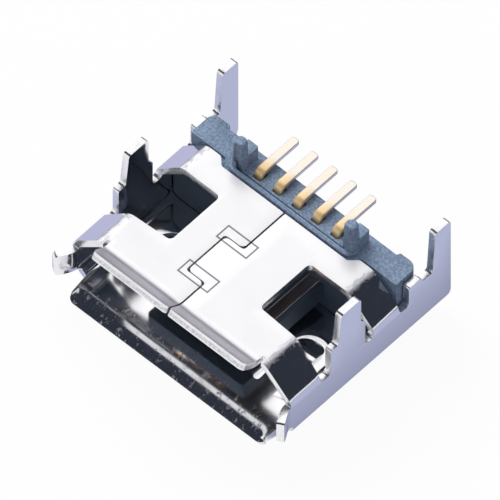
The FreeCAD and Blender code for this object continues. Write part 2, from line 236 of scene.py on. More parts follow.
class StageSettings(bpy.types.PropertyGroup):
    floor: colour("Floor", "Colour of the floor", (0.28, 0.28, 0.285))
    sky: colour("Sky", "Colour of the fill light", (0.84, 0.87, 1.0))
    sky_strength: number("Fill", "Strength of the fill light", 0.5, high=5.0)
    lamp_power: number("Lamp", "Power of the overhead soft box", 0.07, high=20.0, unit="POWER")
    key_power: number("Key", "Power of the lamp behind on the left", 1.65, high=20.0, unit="POWER")
    cool: colour("Cool card", "Colour of the low card on the right", (0.5, 0.53, 0.72))
    pale: colour("Pale card", "Colour of the low card on the left", (0.54, 0.55, 0.75))
    dusk: colour("Back card", "Colour of the card behind", (0.19, 0.175, 0.24))
    dark: colour("Dark card", "Colour of the cards overhead and on the right", (0.03, 0.035, 0.05))
    # The beside colour is painted shadow on the low card close to the socket.
    contact_shadow: colour("Beside", "Colour of the low card close to the socket", (0.1, 0.1, 0.16))
    shade: colour("Under left", "Colour below the socket's left half", (0.04, 0.05, 0.08))
    light: colour("Under right", "Colour below the socket's right half", (0.95, 0.95, 0.95))


def new_material(name):
    """A new material, its node tree and its shader."""
    material = bpy.data.materials.new(name)
    material.use_nodes = True
    tree = material.node_tree
    shader = next(n for n in tree.nodes if n.type == "BSDF_PRINCIPLED")
    return material, tree, shader


def feed(tree, node, inputs):
    """Sets the named inputs of a node, or links them where the value is an output."""
    for name, value in inputs.items():
        if hasattr(value, "is_output"):
            tree.links.new(value, node.inputs[name])
        else:
            node.inputs[name].default_value = value
    return node


def millimetre_vector(tree, scale=(1.0, 1.0, 1.0)):
    """Object coordinates in millimetres, stretched by scale."""
    place = tree.nodes.new("ShaderNodeTexCoord").outputs["Object"]
    mapping = tree.nodes.new("ShaderNodeMapping")
    size = [s / MM for s in scale]
    return feed(tree, mapping, {"Vector": place, "Scale": size}).outputs["Vector"]


def noise(tree, vector, scale, detail=2.0, roughness=0.5):
    node = tree.nodes.new("ShaderNodeTexNoise")
    inputs = {"Vector": vector, "Scale": scale, "Detail": detail, "Roughness": roughness}
    return feed(tree, node, inputs).outputs["Fac"]


def spread(tree, value, low, high, to_low=0.0, to_high=1.0):
    """value from low..high taken to to_low..to_high, held within it."""
    node = tree.nodes.new("ShaderNodeMapRange")
    node.clamp = True
    names = ("Value", "From Min", "From Max", "To Min", "To Max")
    values = (value, low, high, to_low, to_high)
    return feed(tree, node, dict(zip(names, values))).outputs["Result"]


def along(tree, vector, axis):
    """One of the three parts of a vector."""
    node = tree.nodes.new("ShaderNodeSeparateXYZ")
    tree.links.new(vector, node.inputs["Vector"])
    return node.outputs[axis]


def combine(tree, operation, first, second=0.0):
    """The result of a sum on two values or outputs."""
    node = tree.nodes.new("ShaderNodeMath")
    node.operation = operation
    for socket, value in zip(node.inputs, (first, second)):
        if isinstance(value, (int, float)):
            socket.default_value = value
        else:
            tree.links.new(value, socket)
    return node.outputs["Value"]


def times(tree, first, second):
    return combine(tree, "MULTIPLY", first, second)


def blend_colours(tree, factor, first, second):
    node = tree.nodes.new("ShaderNodeMix")
    node.data_type = "RGBA"
    tree.links.new(factor, node.inputs["Factor"])
    for name, value in (("A", first), ("B", second)):
        socket = next(s for s in node.inputs if s.name == name and s.type == "RGBA")
        if hasattr(value, "is_output"):
            tree.links.new(value, socket)
        else:
            socket.default_value = (*value, 1.0)
    return next(s for s in node.outputs if s.type == "RGBA")


def bump(tree, height, distance, strength):
    node = tree.nodes.new("ShaderNodeBump")
    inputs = {"Height": height, "Distance": distance * MM, "Strength": strength}
    return feed(tree, node, inputs).outputs["Normal"]


def surface_group():
    """Fine handling marks: specks, soft clouds of haze and a height, for any finish."""
    found = bpy.data.node_groups.get("handling_marks")
    if found:
        return found
    group = bpy.data.node_groups.new("handling_marks", "ShaderNodeTree")
    face = group.interface
    face.new_socket("Vector", in_out="INPUT", socket_type="NodeSocketVector")
    face.new_socket("Specks", in_out="INPUT", socket_type="NodeSocketFloat")
    for name in ("Speck", "Haze", "Height"):
        face.new_socket(name, in_out="OUTPUT", socket_type="NodeSocketFloat")
    start = group.nodes.new("NodeGroupInput")
    end = group.nodes.new("NodeGroupOutput")
    vector = start.outputs["Vector"]
    fine = noise(group, vector, 24.0, 3.0, 0.6)
    patch = noise(group, vector, 1.7, 2.0, 0.5)
    ripple = noise(group, vector, 0.9, 1.0, 0.4)
    limit = combine(group, "SUBTRACT", 0.98, times(group, start.outputs["Specks"], 0.4))
    grain = combine(group, "ADD", fine, times(group, patch, 0.3))
    speck = spread(group, combine(group, "SUBTRACT", grain, limit), 0.0, 0.05)
    haze = spread(group, patch, 0.35, 0.7)
    height = combine(group, "SUBTRACT", ripple, times(group, speck, 0.08))
    feed(group, end, {"Speck": speck, "Haze": haze, "Height": height})
    return group


def marks(tree, vector, specks):
    """The handling marks over a finish, with more or fewer specks."""
    node = tree.nodes.new("ShaderNodeGroup")
    node.node_tree = surface_group()
    return feed(tree, node, {"Vector": vector, "Specks": specks}).outputs


def attribute(tree, name):
    node = tree.nodes.new("ShaderNodeAttribute")
    node.attribute_name = name
    return node.outputs["Fac"]


def lock_lines(tree, vector, width):
    """1 on the fine line pressed round each lock, on the narrow wall's outer face."""
    x, y, z = [along(tree, vector, axis) for axis in "XYZ"]
    above = combine(tree, "GREATER_THAN", z, WALL_TOP - 0.02)
    middle, half = (LOCK_LEFT + LOCK_RIGHT) / 2, (LOCK_RIGHT - LOCK_LEFT) / 2
    found = 0.0
    for place in LOCK_PLACES:
        centre = MOUTH + place + LOCK_DEPTH / 2
        beyond = []
        for value, low, reach in ((x, middle, half), (y, centre, LOCK_DEPTH / 2)):
            away = combine(tree, "ABSOLUTE", combine(tree, "SUBTRACT", value, low))
            beyond.append(combine(tree, "SUBTRACT", away, reach))
        edge = combine(tree, "ABSOLUTE", combine(tree, "MAXIMUM", *beyond))
        found = combine(tree, "MAXIMUM", spread(tree, edge, width / 2, width / 5), found)
    return times(tree, found, above)


def plate_material(settings):
    """Bright plate, with a pale film on the narrow wall, wear along its bends and painted shade in
    the lines pressed round the locks.
    """
    material, tree, shader = new_material("nickel_plate")
    vector = millimetre_vector(tree)
    found = marks(tree, vector, 0.3)
    streak = noise(tree, millimetre_vector(tree, scale=(9.0, 4.0, 9.0)), 1.0, 4.0, 0.7)
    rubbed = times(tree, attribute(tree, "rubbed"), 0.26)
    worn = spread(tree, combine(tree, "ADD", streak, rubbed), 0.75, 0.8)
    across = combine(tree, "ABSOLUTE", along(tree, vector, "X"))
    dull = spread(tree, along(tree, vector, "Z"), WALL_TOP - 0.06, WALL_TOP - 0.01)
    dull = times(tree, dull, spread(tree, across, 3.2, 3.0))
    behind = spread(tree, along(tree, vector, "Y"), MOUTH - 0.1, MOUTH + 0.1)
    film = times(tree, dull, behind)
    mask = combine(tree, "MAXIMUM", found["Speck"], worn)
    tone = blend_colours(tree, film, settings.plate, settings.film)
    tone = blend_colours(tree, mask, tone, settings.stain)
    # Painted shade: the lines pressed round the locks are coloured dark, besides being pressed in
    # by the bump.
    groove_shade = lock_lines(tree, vector, settings.mark / MM)
    tone = blend_colours(tree, groove_shade, tone, settings.groove_shade)
    metal = spread(tree, film, 0.0, 1.0, 1.0, 0.2)
    hazy = times(tree, found["Haze"], 0.05)
    dull = times(tree, dull, settings.dull)
    dull = combine(tree, "MAXIMUM", dull, times(tree, mask, 0.45))
    rough = combine(tree, "ADD", combine(tree, "ADD", settings.gloss, hazy), dull)
    pressed = combine(tree, "ADD", times(tree, worn, 0.1), groove_shade)
    relief = combine(tree, "SUBTRACT", found["Height"], pressed)
    normal = bump(tree, relief, 0.02, 0.2)
    inputs = {"Base Color": tone, "Metallic": metal, "Roughness": rough, "Normal": normal}
    feed(tree, shader, inputs)
    return material


def cut_material(settings):
    """Sheared steel: bright near the outer face, and torn below that at the narrow lip."""
    material, tree, shader = new_material("sheared_edge")
    vector = millimetre_vector(tree)
    found = marks(tree, vector, 0.6)
    tone = blend_colours(tree, found["Speck"], settings.cut, settings.stain)
    grain = noise(tree, vector, 14.0, 2.0)
    depth = attribute(tree, "depth")
    deep, shallow = spread(tree, depth, 0.3, 0.4), spread(tree, depth, 0.9, 0.75)
    torn = times(tree, deep, shallow)
    torn = times(tree, torn, spread(tree, grain, 0.4, 0.6, 0.4, 1.0))
    tone = blend_colours(tree, torn, tone, settings.torn)
    rough = spread(tree, found["Haze"], 0.0, 1.0, 0.24, 0.34)
    normal = bump(tree, grain, 0.01, 0.4)
    inputs = {"Base Color": tone, "Metallic": 1.0, "Roughness": rough, "Normal": normal}
    feed(tree, shader, inputs)
    return material


def plastic_material(settings):
    """Satin plastic with a pale bloom and painted sheen outside the shell, and painted shade
    inside it.
    """
    material, tree, shader = new_material("satin_moulding")
    vector = millimetre_vector(tree)
    found = marks(tree, vector, 0.6)
    grain = noise(tree, vector, 16.0, 4.0, 0.6)
    # Bloom and painted sheen over the grain, kept off the inside of the shell.
    cloud = times(tree, found["Haze"], 0.25)
    mask = combine(tree, "ADD", cloud, spread(tree, grain, 0.42, 0.62, 0.0, 0.7))
    front = MOUTH + NARROW_DEPTH
    outside = spread(tree, along(tree, vector, "Y"), front - 0.1, front + 0.02)
    mask = times(tree, mask, outside)
    # Painted shade: inside the shell the moulding is painted at half its colour.
    shaded_inside = [c * 0.5 for c in settings.plastic]
    base = blend_colours(tree, outside, shaded_inside, settings.plastic)
    tone = blend_colours(tree, mask, base, settings.bloom_and_sheen)
    rough = combine(tree, "ADD", settings.gloss, times(tree, grain, 0.15))
    normal = bump(tree, grain, 0.02, 0.5)
    feed(tree, shader, {"Base Color": tone, "Roughness": rough, "Normal": normal})
    return material


def gold_material(settings):
    """Pale gold on the tails, warmer at their bends, with painted shade on the blades inside and a
    painted glint at their front ends.
    """
    material, tree, shader = new_material("gold_flash")
    vector = millimetre_vector(tree)
    found = marks(tree, vector, 0.5)
    back = along(tree, vector, "Y")
    riser, tip_glint = MOUTH + RISER_Y, MOUTH + 1.1
    bent = spread(tree, back, riser + 0.16, riser + 0.6, 1.0, 0.0)
    mask = combine(tree, "MAXIMUM", bent, times(tree, found["Haze"], 0.15))
    tone = blend_colours(tree, mask, settings.gold, settings.wear)
    # Painted shade: the blades inside the shell take a duller colour than the gold.
    blade = spread(tree, back, riser - 0.3, riser - 0.2, 1.0, 0.0)
    tone = blend_colours(tree, blade, tone, settings.blade_shade)
    # Painted glint: the blades' front ends are coloured orange.
    tone = blend_colours(tree, spread(tree, back, tip_glint, tip_glint - 0.2), tone, settings.tip_glint)
    bend = combine(tree, "SUBTRACT", bent, blade)
    metal = spread(tree, bend, 0.0, 1.0, 1.0, 0.5)
    rough = combine(tree, "ADD", settings.gloss, times(tree, bend, 0.2))
    normal = bump(tree, found["Height"], 0.01, 0.3)
    inputs = {"Base Color": tone, "Metallic": metal, "Roughness": rough, "Normal": normal}
    feed(tree, shader, inputs)
    return material


def trace(bm, corners, segments=5):
    """Adds the closed wire through corners (a, b, radius), each rounded to its radius."""
    places = [Vector(c[:2]).to_3d() for c in corners]
    verts = [bm.verts.new(place) for place in places]
    for i, vert in enumerate(verts):
        bm.edges.new((verts[i - 1], vert))
    for i, (place, vert, corner) in enumerate(zip(places, verts, corners)):
        if corner[2]:
            back = places[i - 1] - place
            ahead = places[(i + 1) % len(places)] - place
            reach = corner[2] / math.tan(back.angle(ahead) / 2)
            soften(bm, [vert], reach, segments, "VERTICES")


def soften(bm, geometry, size, segments=2, affect="EDGES"):
    """Rounds edges, or the corners of a wire."""
    return bmesh.ops.bevel(
        bm,
        geom=geometry,
        offset=size,
        offset_type="OFFSET",
        segments=segments,
        profile=0.5,
        affect=affect,
        clamp_overlap=affect == "EDGES",
        material=-1,
    )


def cut_lines(bm, axis, places, within=None):
    """Cuts the faces that hold within(centre) along lines across axis, 0 or 1."""
    normal = ((1, 0, 0), (0, 1, 0))[axis]
    for place in places:
        point = [c * place for c in normal]
        faces = [f for f in bm.faces if within is None or within(f.calc_center_median())]
        edges = {e for f in faces for e in f.edges}
        verts = {v for f in faces for v in f.verts}
        geometry = faces + list(edges) + list(verts)
        bmesh.ops.bisect_plane(bm, geom=geometry, dist=1e-6, plane_co=point, plane_no=normal)


def fill(bm):
    """Fills the wires as one flat sheet with holes, and marks the edges that only fill it."""
    bmesh.ops.triangle_fill(
        bm, use_beauty=True, use_dissolve=False, edges=bm.edges[:], normal=(0, 0, 1)
    )
    inner = bm.edges.layers.int.new("inner")
    for edge in bm.edges:
        edge[inner] = int(len(edge.link_faces) == 2)


def merge_cells(bm):
    """Takes out the marked edges, so that every cell between the lines is one face."""
    inner = bm.edges.layers.int["inner"]
    extra = [e for e in bm.edges if e[inner] and len(e.link_faces) == 2]
    bmesh.ops.dissolve_edges(bm, edges=extra, use_verts=False, use_face_split=False)
    straight = []
    for vert in bm.verts:
        if len(vert.link_edges) == 2:
            a, b = [(e.other_vert(vert).co - vert.co) for e in vert.link_edges]
            if a.angle(b, 0) > math.pi - TINY:
                straight.append(vert)
    bmesh.ops.dissolve_verts(bm, verts=straight)


def thicken(bm, thickness):
    """Gives the flat sheet its thickness below the drawing plane."""
    made = bmesh.ops.extrude_face_region(bm, geom=bm.faces[:])
    fresh = [v for v in made["geom"] if isinstance(v, bmesh.types.BMVert)]
    bmesh.ops.translate(bm, vec=(0, 0, -thickness), verts=fresh)
    bmesh.ops.recalc_face_normals(bm, faces=bm.faces[:])


def sharp_edges(bm, angle=0.6):
    return [e for e in bm.edges if len(e.link_faces) == 2 and e.calc_face_angle(0) > angle]


def add_object(name, data):
    made = bpy.data.objects.new(name, data)
    bpy.context.scene.collection.objects.link(made)
    return made


def as_object(bm, name):
    """Makes the bmesh a plain object."""
    mesh = bpy.data.meshes.new(name)
    bm.to_mesh(mesh)
    bm.free()
    return add_object(name, mesh)


def finish_piece(bm, name, materials, node):
    """Makes the bmesh a piece in its place in the frame, in metres."""
    bmesh.ops.scale(bm, vec=(MM, MM, MM), verts=bm.verts[:])
    bmesh.ops.translate(bm, vec=ORIGIN, verts=bm.verts[:])
    for face in bm.faces:
        face.smooth = True
    piece = as_object(bm, name)
    for material in materials:
        piece.data.materials.append(material)
    weighted = piece.modifiers.new("weighted", "WEIGHTED_NORMAL")
    weighted.keep_sharp = True
    weighted.weight = 100
    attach(piece, "root")
    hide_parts(node)


class Section:
    """The closed section of the shell, unrolled from the middle of the wide wall."""

    def __init__(self, bend):
        self.bend = bend
        self.base_end = SHELL_HALF - bend
        self.side_start = self.base_end + bend * math.pi / 2
        self.side_top = KNEE_HEIGHT - bend * math.tan(KNEE_TURN / 2)
        self.side_end = self.side_start + self.side_top - bend
        self.slant_start = self.side_end + bend * KNEE_TURN
        tangents = bend * (math.tan(KNEE_TURN / 2) + math.tan(SLANT_TURN / 2))
        slant = (SHELL_HALF - NARROW_HALF) / math.cos(SLANT_TURN) - tangents
        self.slant_end = self.slant_start + slant
        self.narrow_start = self.slant_end + bend * SLANT_TURN
        self.narrow_flat = NARROW_HALF - bend * math.tan(SLANT_TURN / 2)

    def at_height(self, z):
        """Distance along the section to the height z of the side wall."""
        return self.side_start + z - self.bend

    def at_narrow(self, x):
        """Distance along the section to the place x of the narrow wall."""
        return self.narrow_start + self.narrow_flat - x

    def place(self, s, straight):
        """Point (x, z) at s and the outward direction there; a straight leg doesn't bend in."""
        if s < self.base_end:
            return Vector((s, 0)), Vector((0, -1))
        if s < self.side_start:
            turn = (s - self.base_end) / self.bend
            out = Vector((math.sin(turn), -math.cos(turn)))
            return Vector((self.base_end, self.bend)) + out * self.bend, out
        if straight or s < self.side_end:
            return Vector((SHELL_HALF, self.bend + s - self.side_start)), Vector((1, 0))
        centre = Vector((SHELL_HALF - self.bend, self.side_top))
        turn = min((s - self.side_end) / self.bend, KNEE_TURN)
        out = Vector((math.cos(turn), math.sin(turn)))
        ahead = Vector((-out.y, out.x))
        if s < self.slant_end:
            return centre + out * self.bend + ahead * max(s - self.slant_start, 0), out
        centre += ahead * (self.slant_end - self.slant_start)
        turn = min(KNEE_TURN + (s - self.slant_end) / self.bend, math.pi / 2)
        out = Vector((math.cos(turn), math.sin(turn)))
        return centre + out * self.bend - Vector((max(s - self.narrow_start, 0), 0)), out


def flare(lip, y):
    """How far forward and out of the wall a lip's outer face is at y, and its turn."""
    start, radius, angle = lip[:3]
    turn = min((start - y) / radius, angle)
    rest = max(start - y - radius * angle, 0)
    forward = radius * math.sin(turn) + rest * math.cos(turn)
    out = radius * (1 - math.cos(turn)) + rest * math.sin(turn)
    return forward, out, turn


def lip_front(lip):
    """Where the lip's front edge lies on the flat blank."""
    start, radius, angle, straight = lip
    return start - radius * angle - straight


def spring_rise(y):
    """Height and slope of a spring's outer face at y, with its two bends eased."""
    up = SPRING_LIFT / (SPRING_CREST - SPRING_FOOT)
    down = -SPRING_DROP / (SPRING_TIP - SPRING_CREST)
    bends = ((SPRING_FOOT, FOOT_EASE, up), (SPRING_CREST, CREST_EASE, down - up))
    height, slope = 0.0, 0.0
    for place, ease, change in bends:
        past = y - (place - ease)
        if past > 0:
            share = min(past / (2 * ease), 1)
            slope += change * share
            height += change * (share * share * ease + max(past - 2 * ease, 0))
    return height, slope


def is_leg(section, s, y):
    """True beside a leg, where the sheet stays straight above the side wall."""
    front, rear = FRONT_LEGS
    return s < section.at_narrow(WINDOW_INNER) - 0.2 and (front < y < rear or y > REAR_LEGS)


def fold(section, place):
    """Takes a point of the flat plate to its place on the folded shell."""
    s, y, depth = place
    side = -1 if s < 0 else 1
    s = abs(s)
    (x, z), (out_x, out_z) = section.place(s, is_leg(section, s, y))
    out = Vector((side * out_x, 0, out_z))
    point = Vector((side * x, y, z))
    lip = None
    if s > section.narrow_start:
        lip = NARROW_LIP
    elif section.side_start < s < section.side_end + 0.05:
        lip = SIDE_LIP
    elif s < section.base_end:
        lip = WIDE_LIP
    if lip and y < lip[0]:
        forward, away, turn = flare(lip, y)
        point.y = lip[0] - forward
        point += out * away
        out = out * math.cos(turn) + Vector((0, math.sin(turn), 0))
    if abs(s - SPRING_PLACE) < SPRING_HALF + 0.02 and SPRING_ROOT < y < SPRING_TIP + 0.02:
        height, slope = spring_rise(y)
        point.z += height
        out = Vector((0, slope, -1)).normalized()
    return point + out * depth


def steps(low, high, count, hold=0.03):
    """Lines that cut a bend into count parts, with one just outside each end."""
    size = (high - low) / count
    return [low - hold] + [low + size * i for i in range(count + 1)] + [high + hold]


def seam_path(gap, side):
    """The edge of one half of the narrow wall along the seam, from front to rear, as (x, y, r)."""
    bend = LOCK_DEPTH / 4
    front, rear = [place + (LOCK_DEPTH - bend) / 2 for place in LOCK_PLACES]
    half = side * gap / 2
    slim = half / 2
    tight, wide = (bend - gap / 2, bend + gap / 2)[::side]
    return [
        (half, front + slim, tight),
        (half - SEAM_JOG, front + slim, wide),
        (half - SEAM_JOG, rear - slim, wide),
        (half, rear - slim, tight),
    ]


def front_edge(section):
    """The blank's front edge with its three lips, from the wide wall to the narrow one."""
    height, narrow = section.at_height, section.at_narrow
    low, high = SIDE_LIP_RANGE
    root = narrow(NARROW_LIP_HALF + NARROW_RELIEF_WIDTH)
    return [
        (WIDE_LIP_HALF, lip_front(WIDE_LIP), 0.22),
        (WIDE_LIP_ROOT, 0, 0.05),
        (WIDE_LIP_ROOT, LIP_RELIEF, LIP_RELIEF / 2),
        (height(low), LIP_RELIEF, 0.25),
        (height(low), lip_front(SIDE_LIP), LIP_ROUND),
        (height(high), lip_front(SIDE_LIP), 0.08),
        (height(high), 0, 0.02),
        (root, 0, 0),
        (root, NARROW_RELIEF, PLATE_ROUND),
        (narrow(NARROW_LIP_HALF), NARROW_RELIEF, PLATE_ROUND),
        (narrow(NARROW_LIP_HALF), lip_front(NARROW_LIP), LIP_ROUND),
    ]


def rear_edge(section):
    """The blank's rear edge with the rear leg, from the narrow wall to the wide one."""
    height, narrow = section.at_height, section.at_narrow
    notch = height(NOTCH_BOTTOM)
    return [
        (narrow(STEP_HALF - STEP_ROUND), NARROW_DEPTH, STEP_ROUND),
        (narrow(STEP_HALF + STEP_ROUND), SLANT_DEPTH, STEP_ROUND),
        (notch, SLANT_DEPTH, NOTCH_ROUND),
        (notch, REAR_NOTCH, NOTCH_ROUND),
        (height(2.0), REAR_NOTCH, SHOULDER_ROUND),
        (height(2.0), 4.7, SHOULDER_ROUND),
        (height(1.8), 4.8, SHOULDER_ROUND),
        (height(1.8), 5.14, LEG_ROUND),
        (height(LEG_TOP), 5.24, LEG_ROUND),
        (height(LEG_TOP), SIDE_DEPTH, LEG_ROUND),
        (section.side_start + 0.03, SIDE_DEPTH, 0.4),
        (section.base_end - 0.3, BASE_DEPTH - 0.05, 0.2),
    ]


def half_outline(section, side, gap):
    """Outline of one half of the blank, from the wide lip's front corner to the rear."""
    end = section.at_narrow(gap / 2)
    jogs = [(section.at_narrow(side * x), y, r) for x, y, r in seam_path(gap, side)]
    seam = [(end, lip_front(NARROW_LIP), 0.09), *jogs, (end, NARROW_DEPTH, PLATE_ROUND)]
    return front_edge(section) + seam + rear_edge(section)


def window_outline(section):
    """The hole round the front leg, from the narrow wall down to the side wall's notches."""
    height, narrow = section.at_height, section.at_narrow
    notch = height(NOTCH_BOTTOM)
    return [
        (narrow(WINDOW_INNER), WINDOW_FRONT, WINDOW_ROUND),
        (notch, WINDOW_FRONT - 0.15, NOTCH_ROUND),
        (notch, NOTCH_FRONT, NOTCH_ROUND),
        (height(2.22), NOTCH_FRONT, SHOULDER_ROUND),
        (height(2.22), 1.71, LEG_ROUND),
        (height(LEG_TOP), 1.83, LEG_ROUND),
        (height(LEG_TOP), 2.54, LEG_ROUND),
        (height(2.42), 2.54, SHOULDER_ROUND),
        (height(2.22), NOTCH_REAR, SHOULDER_ROUND),
        (notch, NOTCH_REAR, NOTCH_ROUND),
        (notch, WINDOW_REAR, NOTCH_ROUND),
        (narrow(WINDOW_INNER), WINDOW_REAR, WINDOW_ROUND),
    ]


def spring_slot():
    """The slot that frees a spring, as one narrow loop round its tongue."""
    inner, outer = SPRING_HALF, SLOT_HALF
    end = (outer - inner) / 2 * 0.98
    return [
        (SPRING_PLACE - outer, SPRING_ROOT, end),
        (SPRING_PLACE - inner, SPRING_ROOT, end),
        (SPRING_PLACE - inner, SPRING_TIP, inner * 0.99),
        (SPRING_PLACE + inner, SPRING_TIP, inner * 0.99),
        (SPRING_PLACE + inner, SPRING_ROOT, end),
        (SPRING_PLACE + outer, SPRING_ROOT, end),
        (SPRING_PLACE + outer, SLOT_END, outer * 0.99),
        (SPRING_PLACE - outer, SLOT_END, outer * 0.99),
    ]


def mirrored(corners):
    return [(-a, b, r) for a, b, r in reversed(corners)]


def both_sides(right, ahead=1):
    """The right half's corners and their mirror images, the last few of which go ahead."""
    left = mirrored(right)
    return left[-ahead:] + right + left[:-ahead]


def blank(section, gap):
    """The flat blank of the shell, cut along every bend line."""
    bm = bmesh.new()
    right = half_outline(section, 1, gap)
    left = half_outline(section, -1, gap)
    trace(bm, right + mirrored(left))
    for loop in (window_outline(section), spring_slot()):
        trace(bm, loop, 8)
        trace(bm, mirrored(loop), 8)
    fill(bm)
    bends = steps(section.base_end, section.side_start, 12)
    bends += steps(section.side_end, section.slant_start, 8)
    bends += steps(section.slant_end, section.narrow_start, 8)
    cut_lines(bm, 0, bends + [-place for place in bends])
    cut_lines(bm, 0, [place * 0.5 for place in range(-17, 18)])
    cut_lines(bm, 1, CROSS_CUTS)
    lips = (
        (NARROW_LIP, section.narrow_start, FAR),
        (SIDE_LIP, section.side_start, section.side_end),
        (WIDE_LIP, 0, section.base_end),
    )
    for (start, radius, angle, _), low, high in lips:
        lines = steps(start - radius * angle, start, 8)
        low, high = low - 0.05, high + 0.05
        cut_lines(bm, 1, lines, lambda c, a=low, b=high: c.y < 0.3 and a < abs(c.x) < b)
    profile = steps(SPRING_FOOT - FOOT_EASE, SPRING_FOOT + FOOT_EASE, 4)
    profile += steps(SPRING_CREST - CREST_EASE, SPRING_CREST + CREST_EASE, 6)
    cut_lines(bm, 1, profile, lambda c: 0.58 < c.y < 2.8 and abs(c.x) < section.base_end)
    return bm


def mark_wear(bm, section, sheet):
    """Notes where the flat plate gets rubbed, and how deep in the sheet the lip's edge is."""
    rubbed = bm.verts.layers.float.new("rubbed")
    depth = bm.verts.layers.float.new("depth")
    for vert in bm.verts:
        s = abs(vert.co.x)
        if vert.co.y < 0 and s > section.narrow_start:
            vert[depth] = -vert.co.z / sheet
        away = abs(s - (section.slant_end + section.narrow_start) / 2) - WORN_HALF
        if not is_leg(section, s, vert.co.y):
            vert[rubbed] = max(0.0, 1 - max(away, 0) / WORN_FADE)
        if s < section.base_end and vert.co.y < 0.1:
            vert[rubbed] = WIDE_LIP_WEAR


class SOCKET_OT_shell(bpy.types.Operator):
    """Cuts the flat blank, gives it its thickness and folds it into the shell"""

    bl_idname = "socket.shell"
    bl_label = "Folded shell"

    def execute(self, context):
        settings = context.scene.socket_shell
        section = Section(settings.bend / MM)
        bm = blank(section, settings.seam / MM)
        merge_cells(bm)
        thicken(bm, settings.sheet / MM)
        soften(bm, sharp_edges(bm), settings.edge / MM, 3)
        for face in bm.faces:
            face.material_index = int(abs(face.normal.z) < 0.9)
        mark_wear(bm, section, settings.sheet / MM)
        for vert in bm.verts:
            vert.co = fold(section, vert.co)
        materials = [plate_material(settings), cut_material(settings)]
        finish_piece(bm, "folded_shell", materials, "shell")
        return {"FINISHED"}


def solid_prism(corners, axis, low, high, segments=5):
    """A closed prism of the outline (a, b, radius), along x, y or z from low to high."""
    bm = bmesh.new()
    trace(bm, corners, segments)
    fill(bm)
    merge_cells(bm)
    thicken(bm, high - low)
    bmesh.ops.translate(bm, vec=(0, 0, high), verts=bm.verts[:])
    turns = {
        "x": Matrix(((0, 0, 1), (1, 0, 0), (0, 1, 0))),
        "y": Matrix(((1, 0, 0), (0, 0, 1), (0, 1, 0))),
        "z": Matrix.Identity(3),
    }
    bmesh.ops.transform(bm, matrix=turns[axis].to_4x4(), verts=bm.verts[:])
    bmesh.ops.recalc_face_normals(bm, faces=bm.faces[:])
    return bm


def joined(base, tools, operation):
    """The base solid joined with or cut by the tools, as a fresh bmesh."""
    body = as_object(base, "body")
    others = [as_object(tool, "tool") for tool in tools]
    for other in others:
        step = body.modifiers.new("step", "BOOLEAN")
        step.operation = operation
        step.solver = "EXACT"
        step.object = other
    graph = bpy.context.evaluated_depsgraph_get()
    bm = bmesh.new()
    bm.from_object(body, graph)
    for used in [body] + others:
        bpy.data.meshes.remove(used.data)
    return bm


def spun_post(x, radius):
    """A locating post turned round its axis, with a small fillet at its foot and a soft tip."""
    top = PLATEAU + POST_HEIGHT
    profile = [
        (0.0, PLATEAU - 0.1),
        (radius + 0.06, PLATEAU - 0.1),
        (radius + 0.06, PLATEAU),
        (radius + 0.025, PLATEAU + 0.02),
        (radius + 0.012, PLATEAU + 0.06),
        (radius - 0.02, top - 0.07),
        (radius - 0.04, top - 0.025),
        (radius - 0.075, top),
        (0.0, top),
    ]
    bm = bmesh.new()
    verts = [bm.verts.new((r, 0, z)) for r, z in profile]
    edges = [bm.edges.new(pair) for pair in zip(verts, verts[1:])]
    bmesh.ops.spin(
        bm,
        geom=verts + edges,
        cent=(0, 0, 0),
        axis=(0, 0, 1),
        angle=2 * math.pi,
        steps=32,
        use_merge=True,
        use_duplicate=False,
    )
    bmesh.ops.remove_doubles(bm, verts=bm.verts[:], dist=1e-5)
    bmesh.ops.recalc_face_normals(bm, faces=bm.faces[:])
    bmesh.ops.translate(bm, vec=(x, POST_Y, 0), verts=bm.verts[:])
    return bm


def contact_places():
    """Where the five contacts stand across the socket."""
    middle = (CONTACT_COUNT - 1) / 2
    return [(i - middle) * CONTACT_PITCH for i in range(CONTACT_COUNT)]


def rectangle(left, right, front, rear, front_round=0, rear_round=0):
    """Four corners (a, b, radius) of a rectangle."""
    return [
        (left, front, front_round),
        (right, front, front_round),
        (right, rear, rear_round),
        (left, rear, rear_round),
    ]


def block():
    """The bar that fills the shell's section behind the tongue."""
    half = SHELL_HALF - BLOCK_INSET
    top = NARROW_HALF - math.tan(SLANT_TURN / 2) * BLOCK_INSET
    shoulder = KNEE_HEIGHT - math.tan(KNEE_TURN / 2) * BLOCK_INSET
    right = [
        (half, BLOCK_INSET, BLOCK_ROUND),
        (half, shoulder, BLOCK_ROUND),
        (top, SHELL_HEIGHT - BLOCK_INSET, BLOCK_ROUND),
    ]
    return solid_prism(both_sides(right), "y", BLOCK_FRONT, WING_FRONT + 0.02, 6)


def plateau(front, slim):
    """The plateau between the contacts and its two wings, rounded at their ends."""
    half = SHELL_HALF - BLOCK_INSET
    wide = slim + 2 * STEP_ROUND
    pad, reach = half - PAD_WIDTH, HOUSING_REAR + PAD_REACH
    right = [
        (slim, front, 0.05),
        (wide, WING_FRONT, 0.05),
        (half, WING_FRONT, 0),
        (half, reach, 0.25),
        (pad, reach, 0.06),
        (pad, HOUSING_REAR, 0.06),
    ]
    bm = solid_prism(both_sides(right, 3), "z", BLOCK_INSET, PLATEAU)
    outer = half - 0.01
    ends = [e for e in level_edges(bm, PLATEAU) if all(abs(v.co.x) > outer for v in e.verts)]
    soften(bm, ends, 0.2, 6)
    return bm


def level_edges(bm, height):
    return [e for e in bm.edges if all(abs(v.co.z - height) < TINY for v in e.verts)]


def ridge(front, slim):
    """The low ridge along the plateau's front, turned back at both ends."""
    end, inner = slim + 0.03, slim - 0.12
    right = [
        (end, front + 0.03, 0.28),
        (end, POST_Y, 0),
        (inner, POST_Y, 0),
        (inner, front + 0.18, 0.14),
    ]
    bm = solid_prism(both_sides(right), "z", TONGUE_TOP, RIDGE_TOP)
    soften(bm, level_edges(bm, RIDGE_TOP), 0.05, 3)
    return bm


